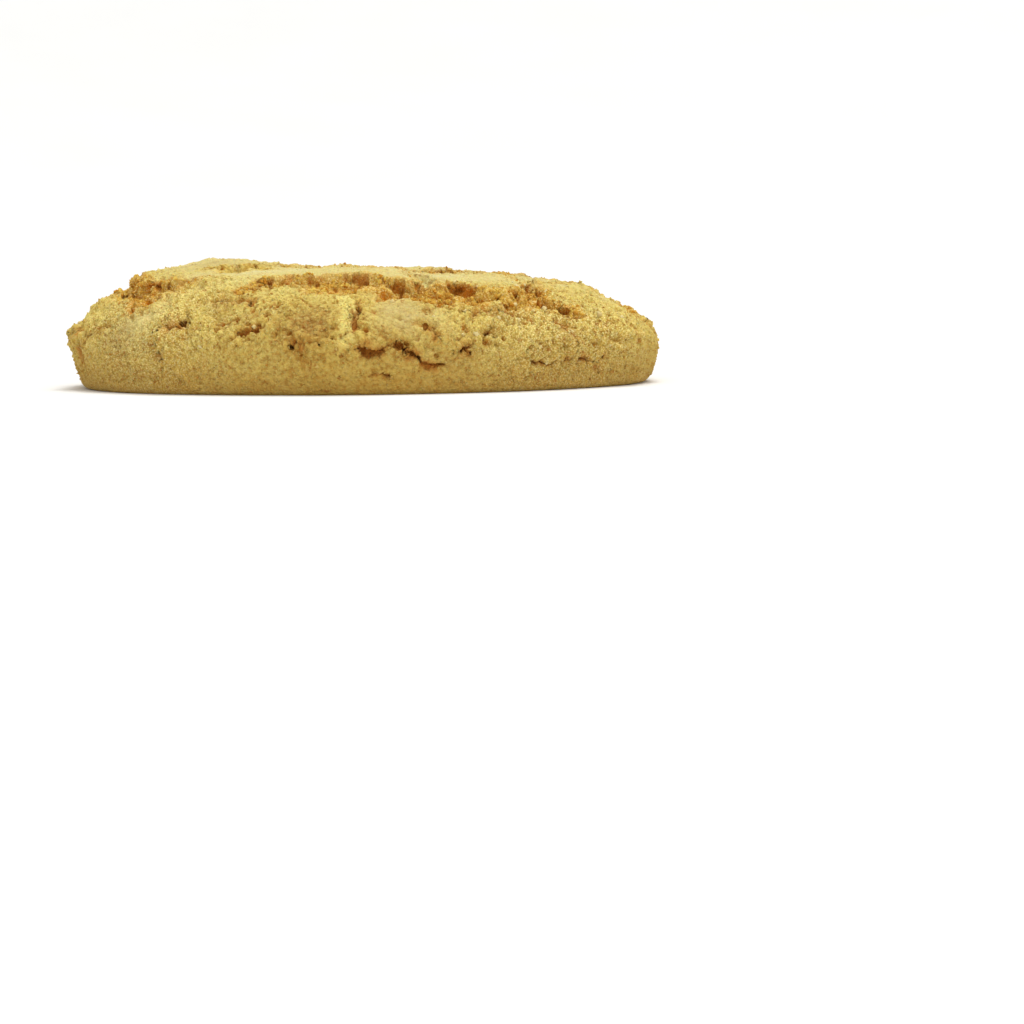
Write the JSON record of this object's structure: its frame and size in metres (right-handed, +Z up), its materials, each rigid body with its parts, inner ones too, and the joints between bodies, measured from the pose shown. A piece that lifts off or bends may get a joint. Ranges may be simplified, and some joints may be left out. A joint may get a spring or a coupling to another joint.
{
  "type": "oatmeal cookie",
  "caption": "Round golden oatmeal cookie with a flat base, a blunt rounded edge and a domed top crust that is cracked and torn open in bands, showing crumb.",
  "frame": {"origin": "middle of the cookie's outline, on its flat base", "axes": "+Z up, out of the top crust; -Y towards the side with the long torn band"},
  "size_m": [0.0796, 0.0802, 0.0175],
  "materials": {
    "crust": "matte"
  },
  "bodies": {
    "root": {"cookie": "crust"}
  },
  "joints": []
}
